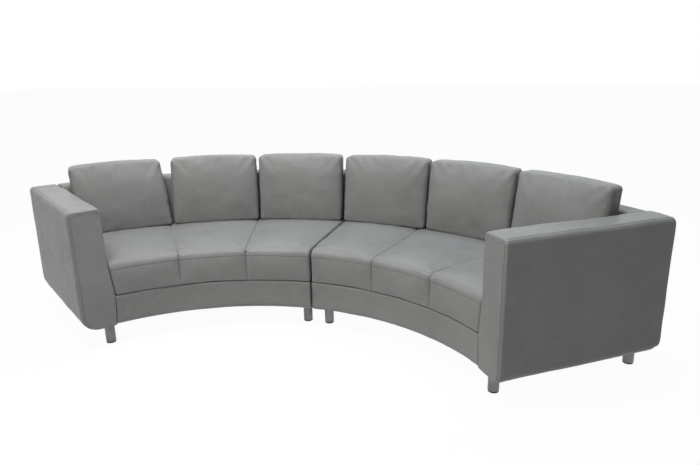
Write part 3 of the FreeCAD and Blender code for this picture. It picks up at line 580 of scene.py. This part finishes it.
def seat_pad(label, side):
    top = SEAT_HEIGHT - 0.002
    along = places(0, SEAT_WIDTH, 0.017, (SEAT_EDGE, SEAT_EDGE), SEAT_LINES, (0.0, 0.003, 0.009, 0.018))
    across = places(0, SEAT_DEPTH, 0.020, (0.034, 0.012))
    up = places(SEAT_LOW, top, 0.018, (0.010, 0.034), (top - SEAT_BAND,), (0.0, 0.003))
    local, raw, faces = block(along, across, up, (SEAT_EDGE, SEAT_EDGE), (0.010, 0.034, 0.012, 0.010))
    for at in SEAT_LINES:
        beside = np.exp(-((raw[:, 0] - at) / 0.12) ** 2)
        shift = (seat_line(at, raw[:, 1], side) - at) * beside
        local[:, 0] += shift
        raw[:, 0] += shift
    on_top = raw[:, 2] > top - 1e-5
    on_front = raw[:, 1] < 1e-5
    shown = on_top | on_front
    distance = np.min([np.abs(raw[:, 0] - seat_line(at, raw[:, 1], side)) for at in SEAT_LINES], axis=0)
    panel = (raw[:, 0] * 3 / SEAT_WIDTH) % 1
    arch = np.clip(4 * panel * (1 - panel), 0, 1) ** 0.6
    fall = 1 - np.exp(-raw[:, 1] / 0.05)
    rear = 1 - np.exp(-(SEAT_DEPTH - raw[:, 1]) / 0.10)
    crown = 0.010 * (0.35 + 0.65 * arch) * fall * rear
    groove = 0.006 * np.exp(-(distance / 0.010) ** 2) * np.clip((SEAT_DEPTH - raw[:, 1]) / 0.06, 0, 1)
    down = np.clip((raw[:, 2] - SEAT_LOW) / 0.08, 0, 1)
    local[:, 2] += np.where(on_top, crown - groove, 0)
    local[:, 1] += np.where(on_front & ~on_top, groove * down, 0)
    edge = np.minimum(raw[:, 0], SEAT_WIDTH - raw[:, 0])
    puff = 0.004 * np.sin(np.pi * np.clip((raw[:, 2] - SEAT_LOW) / (top - SEAT_BAND - SEAT_LOW), 0, 1))
    local[:, 1] -= np.where(on_front & ~on_top, puff * np.clip(edge / 0.03, 0, 1) * arch, 0)
    pinned = np.zeros(len(raw))
    pinned[shown & (distance < 0.004)] = 1.0
    pinned[(np.abs(raw[:, 2] - (top - SEAT_BAND)) < 1e-4) & ~on_top] = 0.7
    pinned[(raw[:, 2] < SEAT_LOW + 0.02) | (raw[:, 1] > SEAT_DEPTH - 0.03)] = 1.0
    pinned[(edge < SEAT_EDGE * 0.5)] = 1.0
    piece = built(label + "_seat_pad", seat_places(local), faces, raw, side)
    return piece, pinned


def seat_line(at, depth, side):
    """Where a radial seam runs at a distance from the front; the right seat's first one bows inwards."""
    bow = 0.045 if side > 0 and at < SEAT_WIDTH / 2 else 0.0
    return at - bow * (depth / SEAT_DEPTH) ** 2


def seat_relief(seed, side):
    top = SEAT_HEIGHT - 0.002

    def relief(raw, points):
        on_top = raw[:, 2] > top - 1e-4
        on_front = raw[:, 1] < 1e-4
        shown = on_top | on_front
        fade = np.clip((SEAT_DEPTH - raw[:, 1]) / 0.03, 0, 1)
        amount = 0.0022 * waves(points, 0.17, seed) + 0.0011 * waves(points, 0.060, seed + 1)
        amount += 0.0005 * waves(points * np.array([1, 1, 1.4]), 0.028, seed + 2)
        seam_shade = np.zeros(len(raw))
        for number, at in enumerate(SEAT_LINES):
            distance = raw[:, 0] - seat_line(at, raw[:, 1], side)
            run = raw[:, 1] + np.where(on_top, 0, top - raw[:, 2])
            gather = pucker(distance, run, seed + 5 + number, 0.0016, 0.028, 0.026)
            amount += np.where(shown, fade * (stitched(distance) + gather), 0)
            # Painted shade along the radial seams: even on the front, fading towards the rear on the top,
            # the second seam much sooner.
            shade = np.where(on_top, 0.5 * np.exp(-raw[:, 1] / (0.9, 0.12)[number]), 0.42)
            seam_shade = np.maximum(seam_shade, np.where(shown, fade * shade * line(distance), 0))
        around = (~on_top) & (raw[:, 2] > SEAT_LOW + 0.02)
        band = raw[:, 2] - (top - SEAT_BAND)
        run = raw[:, 0] + raw[:, 1]
        gather = pucker(band, run, seed + 9, 0.0010, 0.02, 0.03)
        amount += np.where(around, stitched(band, 0.0010) + gather, 0)
        # Painted shade along the sewn band across the seat's front.
        seam_shade = np.maximum(seam_shade, np.where(around, 0.22 * line(band, 0.0018), 0))
        return amount, seam_shade

    return relief


# Loose back cushions: boxed, with a crowned front and a sewn edge all round

CUSHION_HALF = 0.2475
CUSHION_LOW = SEAT_HEIGHT + 0.0006
CUSHION_ROUND = 0.018
CUSHION_END = 0.021
CUSHION_DEPTH = 0.11
CUSHION_FRONT = 1.688
BAND_SEAM = 0.011


def cushion_pad(label, side, number, angle, inner, outer):
    """inner and outer are the half widths at the bottom and top, towards the middle and the arm."""
    top = CUSHION_TOP
    along = places(-CUSHION_HALF, CUSHION_HALF, 0.017, (CUSHION_END, CUSHION_END))
    across = places(0, CUSHION_DEPTH, 0.016, (CUSHION_ROUND, CUSHION_ROUND))
    up = places(CUSHION_LOW, top, 0.017, (CUSHION_ROUND, CUSHION_ROUND))
    local, raw, faces = block(
        along, across, up, (CUSHION_END, CUSHION_END),
        (CUSHION_ROUND, CUSHION_ROUND, CUSHION_ROUND, 0.009))
    share = local[:, 0] / CUSHION_HALF
    height = (local[:, 2] - CUSHION_LOW) / (top - CUSHION_LOW)
    bow = np.clip(1 - share ** 2, 0, 1) ** 0.55 * np.clip(4 * height * (1 - height), 0, 1) ** 0.55
    local[:, 2] += np.where(height > 0.5, 0.007 * (1 - share ** 2) * (height - 0.5) * 2, 0)
    z = local[:, 2]
    inner_width = inner[0] + (inner[1] - inner[0]) * height
    outer_width = outer[0] + (outer[1] - outer[0]) * height
    width = np.where(share < 0, inner_width, outer_width)
    x = share * (width + 0.002 * np.sin(np.pi * np.clip(height, 0, 1)))
    rear = np.sqrt((backrest_radius(z) - 0.0008) ** 2 - x ** 2)
    nose = CUSHION_FRONT + (z - SEAT_HEIGHT) * CUSHION_LEAN - 0.017 * bow
    y = nose + (rear - nose) * local[:, 1] / CUSHION_DEPTH
    outward = np.array([math.sin(math.radians(angle)), math.cos(math.radians(angle)), 0])
    sideways = np.array([outward[1], -outward[0], 0])
    points = ARC + np.multiply.outer(y, outward) + np.multiply.outer(x, sideways) + np.multiply.outer(z, UP)
    pinned = np.zeros(len(raw))
    on_side = raw[:, 1] > 1e-5
    pinned[on_side & (raw[:, 1] < BAND_SEAM + 0.004)] = 0.7
    pinned[(raw[:, 1] > CUSHION_DEPTH * 0.6) | (raw[:, 2] < CUSHION_LOW + 0.02)] = 1.0
    piece = built(f"{label}_back_pad_{number}", points, faces, raw, side)
    return piece, pinned


def cushion_relief(seed):
    def relief(raw, points):
        on_front = raw[:, 1] < 1e-4
        on_rear = raw[:, 1] > CUSHION_DEPTH - 1e-4
        amount = 0.0026 * waves(points, 0.15, seed) + 0.0012 * waves(points, 0.055, seed + 1)
        amount += 0.0004 * waves(points, 0.026, seed + 2)
        edge = raw[:, 1] - BAND_SEAM
        beside = ~on_front & ~on_rear
        from_ends = np.minimum(raw[:, 2] - CUSHION_LOW, CUSHION_TOP - raw[:, 2])
        rim = np.minimum(CUSHION_HALF - np.abs(raw[:, 0]), from_ends)
        away = np.where(on_front, rim + BAND_SEAM, np.abs(edge))
        run = raw[:, 0] + raw[:, 2]
        amount += pucker(away, run, seed + 3, 0.0014, 0.022, 0.024) * np.where(on_rear, 0, 1)
        amount += np.where(beside, corded(edge, 0.0012, 0.0026, 0.0008, 0.005, 0.0016), 0)
        # Painted shade in the groove just beside the sewn cord.
        seam_shade = np.where(beside, 0.22 * line(edge - 0.0044, 0.0013), 0)
        return amount, seam_shade

    return relief


# Arms: a padded box with a sewn front panel, ending on the back's outer face

TOP_BAND = 0.020
ARM_ENDS = (0.008, 0.018)
REAR_LOW_ROUND = (0.018, 0.048)
ARM_LOW_ROUND = {"right": 0.040, "left": 0.074}


def arm_box(label, side):
    low_round = ARM_LOW_ROUND[label]
    end = float(back_at_radius(ARM_WIDTH / 2, BACK_RADIUS))
    along = places(0, end, 0.020, ARM_ENDS)
    lines = (ARM_WIDTH - 0.0035, ARM_WIDTH - TOP_BAND)
    across = places(0, ARM_WIDTH, 0.014, (0.020, 0.024), lines, (0.0, 0.0025, 0.005))
    up = places(BOTTOM, ARM_HEIGHT, 0.018, (low_round, 0.024), (ARM_HEIGHT - 0.0035,), (0.0, 0.0025, 0.005))
    local, raw, faces = block(
        along, across, up, ARM_ENDS, (0.004, 0.020, 0.023, low_round),
        ((0.3, 1, 0.7, 1), (0.12, 1, 0.6, 1)))
    back, out, z = local[:, 0], local[:, 1], local[:, 2]
    slant = inner_slant(z)
    share = out / ARM_WIDTH
    on_outer = raw[:, 1] > ARM_WIDTH - 1e-5
    on_front = raw[:, 0] < 1e-5
    on_top = raw[:, 2] > ARM_HEIGHT - 1e-5
    tall = np.clip((z - BOTTOM) / (ARM_HEIGHT - BOTTOM), 0, 1)
    long = np.clip(back / end, 0, 1)
    bow = np.clip(4 * tall * (1 - tall), 0, 1) ** 0.6 * np.clip(4 * long * (1 - long), 0, 1) ** 0.5
    out = out + slant * (1 - share) + np.where(on_outer, 0.006 * bow, 0)
    wide = np.clip(4 * share * (1 - share), 0, 1) ** 0.6
    z = z + np.where(on_top, 0.003 * wide * np.clip(back / 0.03, 0, 1), 0)
    reach = back_at_radius(np.clip(out, 0, ARM_WIDTH), BACK_RADIUS)
    bulge = 0.003 * wide * np.clip(4 * tall * (1 - tall), 0, 1) ** 0.5
    back = back * reach / end - np.where(on_front, bulge, 0)
    # The rear end's lower corner is rounded too, more towards the outside
    size = np.interp(share, (0, 1), REAR_LOW_ROUND)
    far_back = np.clip(back - (reach - size), 0, size)
    far_down = np.clip(BOTTOM + size - z, 0, size)
    both = (far_back > 1e-9) & (far_down > 1e-9)
    length = np.where(both, np.hypot(far_back, far_down), 1.0)
    factor = np.where(both, np.maximum(far_back, far_down) / length, 1.0)
    back = np.where(both, reach - size + far_back * factor, back)
    z = np.where(both, BOTTOM + size - far_down * factor, z)
    points = arm_point(out, back, z)
    return built(label + "_arm_leather", points, faces, raw, side)


def arm_relief(seed):
    def relief(raw, points):
        on_front = raw[:, 0] < 1e-4
        on_outer = raw[:, 1] > ARM_WIDTH - 1e-4
        on_inner = raw[:, 1] < 1e-4
        on_top = raw[:, 2] > ARM_HEIGHT - 1e-4
        amount = 0.0022 * waves(points, 0.22, seed) + 0.0011 * waves(points, 0.08, seed + 1)
        amount += 0.0005 * waves(points * np.array([1, 1, 0.6]), 0.035, seed + 2)
        amount *= np.where(on_inner, 0.4, 1)
        seam_shade = np.zeros(len(raw))
        rim = np.minimum(ARM_WIDTH - raw[:, 1] - 0.0035, ARM_HEIGHT - raw[:, 2] - 0.0035)
        amount += np.where(on_front, corded(rim, 0.0016, 0.0024, 0.0012, 0.0045, 0.0015), 0)
        # Painted shade in the groove just inside the cord round the front panel.
        seam_shade = np.maximum(seam_shade, np.where(on_front, 0.45 * line(rim - 0.004, 0.0013), 0))
        run = raw[:, 1] + raw[:, 2]
        amount += np.where(on_front, pucker(rim, run, seed + 3, 0.0010, 0.02, 0.03), 0)
        gather = pucker(raw[:, 0], raw[:, 2], seed + 4, 0.0012, 0.03, 0.04)
        amount += np.where(on_outer | on_top, gather, 0)
        top_seam = raw[:, 1] - (ARM_WIDTH - TOP_BAND)
        along_top = on_top & (raw[:, 0] > 0.006)
        gather = pucker(top_seam, raw[:, 0], seed + 6, 0.0010, 0.02, 0.03)
        amount += np.where(along_top, stitched(top_seam, 0.0010) + gather, 0)
        # Painted shade along the stitched seam on the arm's top.
        seam_shade = np.maximum(seam_shade, np.where(along_top, 0.4 * line(top_seam, 0.0014), 0))
        return amount, seam_shade

    return relief


# Leather over the front rail and round the backrest, tucked a little way into the arm

ARM_OVERLAP = 0.001


def swept(label, kind, side, corners, spacing, stations, placed, outer_sides, end_round):
    profile, sides = traced(corners, spacing)
    share, section, faces, ends = sweep(profile, stations)
    side_of = np.tile(sides, len(stations))
    forward = np.roll(profile, -1, axis=0) - np.roll(profile, 1, axis=0)
    inward = np.stack([forward[:, 1], -forward[:, 0]], -1)
    inward /= np.linalg.norm(inward, axis=1, keepdims=True)
    following = np.roll(profile, -1, axis=0)
    turns_left = np.sum(profile[:, 0] * following[:, 1] - following[:, 0] * profile[:, 1]) > 0
    if turns_left:
        inward = -inward
    depth = np.clip(end_round - share, 0, end_round)
    drop = end_round - np.sqrt(np.maximum(end_round ** 2 - depth ** 2, 0))
    outer = np.isin(np.round(side_of * 2), [round(number * 2) for number in outer_sides])
    section = section + np.tile(inward, (len(stations), 1)) * np.where(outer, drop, 0)[:, None]
    raw = np.stack([share, section[:, 0], section[:, 1]], -1)
    caps = [ends[0][::-1].tolist(), ends[1].tolist()]
    if turns_left:
        faces = faces[:, ::-1]
        caps = [cap[::-1] for cap in caps]
    return built(f"{label}_{kind}", placed(share, section), faces, raw, side, caps)


def arm_limit(radius, z):
    """Bearing at which a radius meets the arm's inner face at a height."""
    out = inner_slant(z) + ARM_OVERLAP
    back = back_at_radius(out, radius)
    place = arm_point(out, back, z * 0) - ARC
    return np.arctan2(place[..., 0], place[..., 1])


def ring_places(share, section):
    """From a share of the way round, and (radius, height), to the row frame."""
    radius, z = section[:, 0], section[:, 1]
    first = np.arcsin(SEAM_FACE / radius)
    last = arm_limit(radius, z)
    bearing = first + (last - first) * share
    return ARC + np.stack([radius * np.sin(bearing), radius * np.cos(bearing), z], -1)


def ring_shares(length, spacing, end_round, lines=()):
    return places(0, length, spacing, (end_round, 0.004), lines, (0.0, 0.003, 0.008)) / length


RAIL_LENGTH = HALF_ANGLE * FRONT_RADIUS
BACK_LENGTH = 1.66
BACK_LINES = (BACK_LENGTH / 3, BACK_LENGTH * 2 / 3)


def rail_leather(label, side):
    inside = FRONT_RADIUS + 0.014
    corners = [
        (inside + 0.019, BOTTOM, 0), (FRONT_RADIUS, BOTTOM, 0.024),
        (FRONT_RADIUS, RAIL_TOP - 0.0005, 0.010), (FRONT_RADIUS + 0.055, RAIL_TOP - 0.0005, 0),
        (FRONT_RADIUS + 0.055, RAIL_TOP - 0.013, 0),
        (inside, RAIL_TOP - 0.014, 0), (inside, BOTTOM + 0.014, 0), (inside + 0.019, BOTTOM + 0.013, 0)]
    return swept(
        label, "rail_leather", side, corners, 0.018, ring_shares(RAIL_LENGTH, 0.020, 0.009),
        ring_places, (0, 0.5, 1, 1.5, 2), 0.009 / RAIL_LENGTH)


def rail_relief(seed):
    def relief(raw, points):
        outer = (raw[:, 1] < FRONT_RADIUS + 0.012) & (raw[:, 2] < RAIL_TOP - 0.002)
        tall = np.clip((raw[:, 2] - BOTTOM) / (RAIL_TOP - BOTTOM), 0, 1)
        amount = 0.0030 * np.sin(np.pi * tall)
        amount += 0.0020 * waves(points * np.array([1, 1, 0.5]), 0.13, seed)
        amount += 0.0011 * waves(points, 0.05, seed + 1)
        return np.where(outer, amount, 0), np.zeros(len(raw))

    return relief


def back_leather(label, side):
    corners = [
        (BACK_RADIUS - 0.019, BOTTOM, 0), (BACK_RADIUS - 0.019, BOTTOM + 0.013, 0),
        (BACK_RADIUS - 0.014, BOTTOM + 0.014, 0), (BACK_RADIUS - 0.014, ARM_HEIGHT - 0.014, 0),
        (backrest_radius(ARM_HEIGHT - 0.014) + 0.014, ARM_HEIGHT - 0.014, 0),
        (backrest_radius(RAIL_TOP - 0.014) + 0.014, RAIL_TOP - 0.014, 0),
        (backrest_radius(RAIL_TOP - 0.014), RAIL_TOP - 0.014, 0),
        (backrest_radius(ARM_HEIGHT), ARM_HEIGHT, 0.022), (BACK_RADIUS, ARM_HEIGHT, 0.022),
        (BACK_RADIUS, BOTTOM, 0.018)]
    return swept(
        label, "back_leather", side, corners, 0.022, ring_shares(BACK_LENGTH, 0.026, 0.010, BACK_LINES),
        ring_places, (6, 6.5, 7, 7.5, 8, 8.5, 9), 0.010 / BACK_LENGTH)


def back_relief(seed):
    def relief(raw, points):
        outer = (raw[:, 1] > BACK_RADIUS - 0.012)
        top = (raw[:, 2] > ARM_HEIGHT - 0.010)
        inner = (raw[:, 1] < backrest_radius(raw[:, 2]) + 0.008) & ~top
        tall = np.clip((raw[:, 2] - BOTTOM) / (ARM_HEIGHT - BOTTOM), 0, 1)
        run = raw[:, 0] * BACK_LENGTH
        amount = np.where(outer, 0.005 * np.clip(np.sin(np.pi * tall), 0, 1) ** 0.6, 0)
        ripple = 0.0022 * waves(points, 0.24, seed) + 0.0012 * waves(points, 0.09, seed + 1)
        amount = amount + np.where(outer | top, ripple, 0.3 * ripple)
        seam_shade = np.zeros(len(raw))
        for number, at in enumerate(BACK_LINES):
            distance = run - at
            gather = pucker(distance, raw[:, 2], seed + 3 + number, 0.0014, 0.03, 0.035)
            amount += np.where(outer, stitched(distance, 0.0018) + gather, 0)
            # Painted shade along the stitched seams on the backrest's outer face.
            seam_shade = np.maximum(seam_shade, np.where(outer, line(distance, 0.0018), 0))
        amount = np.where(outer | top | inner, amount, 0)
        return amount, seam_shade

    return relief


# Cushions: number, angle, half widths at the bottom and top towards the middle, and towards the arm
CUSHIONS = {
    "right": ((1, 8.5, (0.2475, 0.250), (0.2470, 0.252)), (2, 25.3, (0.2470, 0.252), (0.2470, 0.250)),
              (3, 42.1, (0.2470, 0.250), (0.2560, 0.268))),
    "left": ((1, 8.5, (0.2475, 0.249), (0.2470, 0.250)), (2, 25.3, (0.2470, 0.250), (0.2460, 0.243)),
             (3, 42.1, (0.2460, 0.216), (0.2560, 0.268))),
}

soft = []
for label, side in SIDES:
    seed = 11 if side > 0 else 57
    seat, pinned = seat_pad(label, side)
    soft.append((seat, pinned, seat_relief(seed, side), label + "_seat",
                 (label + "_seat_cover", label + "_seat_foam"), 0.85))
    for number, angle, inner, outer in CUSHIONS[label]:
        pad, pinned = cushion_pad(label, side, number, angle, inner, outer)
        soft.append((pad, pinned, cushion_relief(seed + 7 * number), f"{label}_back_{number}",
                     (f"{label}_back_cushion_{number}", f"{label}_back_foam_{number}"), 0.75))

swell([(piece, pinned) for piece, pinned, *rest in soft])

for piece, pinned, relief, body, nodes, fill in soft:
    subdivided(piece)
    detailed(piece, relief)
    attached(piece, body, nodes)

for label, side in SIDES:
    seed = 101 if side > 0 else 173
    body = label + "_section"
    arm = arm_box(label, side)
    rail = rail_leather(label, side)
    back = back_leather(label, side)
    for piece, relief, nodes in (
            (arm, arm_relief(seed), ("arm_cover", "arm_front_panel")),
            (rail, rail_relief(seed + 20), ("front_cover",)),
            (back, back_relief(seed + 40), ("back_cover",))):
        subdivided(piece)
        detailed(piece, relief)
        attached(piece, body, [f"{label}_{name}" for name in nodes])


# Floor, lights and background

def stage():
    mesh = bpy.data.meshes.new("floor")
    mesh.from_pydata([(-30, -30, 0), (30, -30, 0), (30, 30, 0), (-30, 30, 0)], [], [(0, 1, 2, 3)])
    floor = bpy.data.objects.new("floor", mesh)
    bpy.context.collection.objects.link(floor)
    made, nodes, links, shader = new_material("floor_white")
    shader.inputs["Base Color"].default_value = (0.75, 0.75, 0.73, 1)
    shader.inputs["Roughness"].default_value = 0.9
    shader.inputs["Specular IOR Level"].default_value = 0.1
    path = nodes.new("ShaderNodeLightPath")
    emission = nodes.new("ShaderNodeEmission")
    emission.inputs["Color"].default_value = (1, 1, 1, 1)
    seen = seen_directly(nodes, links, path)
    scaled = nodes.new("ShaderNodeMath")
    scaled.operation = "MULTIPLY"
    scaled.inputs[1].default_value = 0.965
    links.new(seen, scaled.inputs[0])
    mix = nodes.new("ShaderNodeMixShader")
    links.new(scaled.outputs[0], mix.inputs[0])
    links.new(shader.outputs[0], mix.inputs[1])
    links.new(emission.outputs[0], mix.inputs[2])
    links.new(mix.outputs[0], nodes["Material Output"].inputs["Surface"])
    mesh.materials.append(made)


def seen_directly(nodes, links, path):
    """1 for rays from the camera, and for mirror and see-through rays."""
    total = path.outputs["Is Camera Ray"]
    for output in ("Is Glossy Ray", "Is Transmission Ray"):
        larger = nodes.new("ShaderNodeMath")
        larger.operation = "MAXIMUM"
        links.new(total, larger.inputs[0])
        links.new(path.outputs[output], larger.inputs[1])
        total = larger.outputs[0]
    return total


def sky():
    world = bpy.data.worlds.new("studio")
    bpy.context.scene.world = world
    world.use_nodes = True
    nodes, links = world.node_tree.nodes, world.node_tree.links
    nodes.clear()
    path = nodes.new("ShaderNodeLightPath")
    lit = nodes.new("ShaderNodeBackground")
    lit.inputs["Color"].default_value = (0.93, 0.96, 1.0, 1)
    lit.inputs["Strength"].default_value = WORLD_LIGHT
    seen = nodes.new("ShaderNodeBackground")
    seen.inputs["Color"].default_value = (1, 1, 1, 1)
    seen.inputs["Strength"].default_value = 1.0
    mix = nodes.new("ShaderNodeMixShader")
    links.new(seen_directly(nodes, links, path), mix.inputs[0])
    links.new(lit.outputs[0], mix.inputs[1])
    links.new(seen.outputs[0], mix.inputs[2])
    output = nodes.new("ShaderNodeOutputWorld")
    links.new(mix.outputs[0], output.inputs["Surface"])


def lamp(name, place, target, size, power, colour=(1, 1, 1)):
    data = bpy.data.lights.new(name, "AREA")
    data.shape = "RECTANGLE"
    data.size, data.size_y = size
    data.energy = power
    data.color = colour
    thing = bpy.data.objects.new(name, data)
    direction = Vector(target) - Vector(place)
    thing.matrix_world = Matrix.Translation(place) @ direction.to_track_quat("-Z", "Y").to_matrix().to_4x4()
    bpy.context.collection.objects.link(thing)


WORLD_LIGHT = 0.20
stage()
sky()
lamp("centre_soft", (-0.7, -1.15, 2.9), (0.1, 0, 0.3), (1.5, 1.1), 75, (1.0, 0.985, 0.95))
lamp("overhead", (0.3, 0.6, 3.4), (0.1, 0, 0.3), (3.2, 2.0), 82, (0.80, 0.89, 1.0))
lamp("front_fill", (0.4, -3.4, 2.2), (0.2, 0.2, 0.4), (2.0, 1.4), 14, (1.0, 0.99, 0.95))

scene = bpy.context.scene
scene.view_settings.view_transform = "Standard"
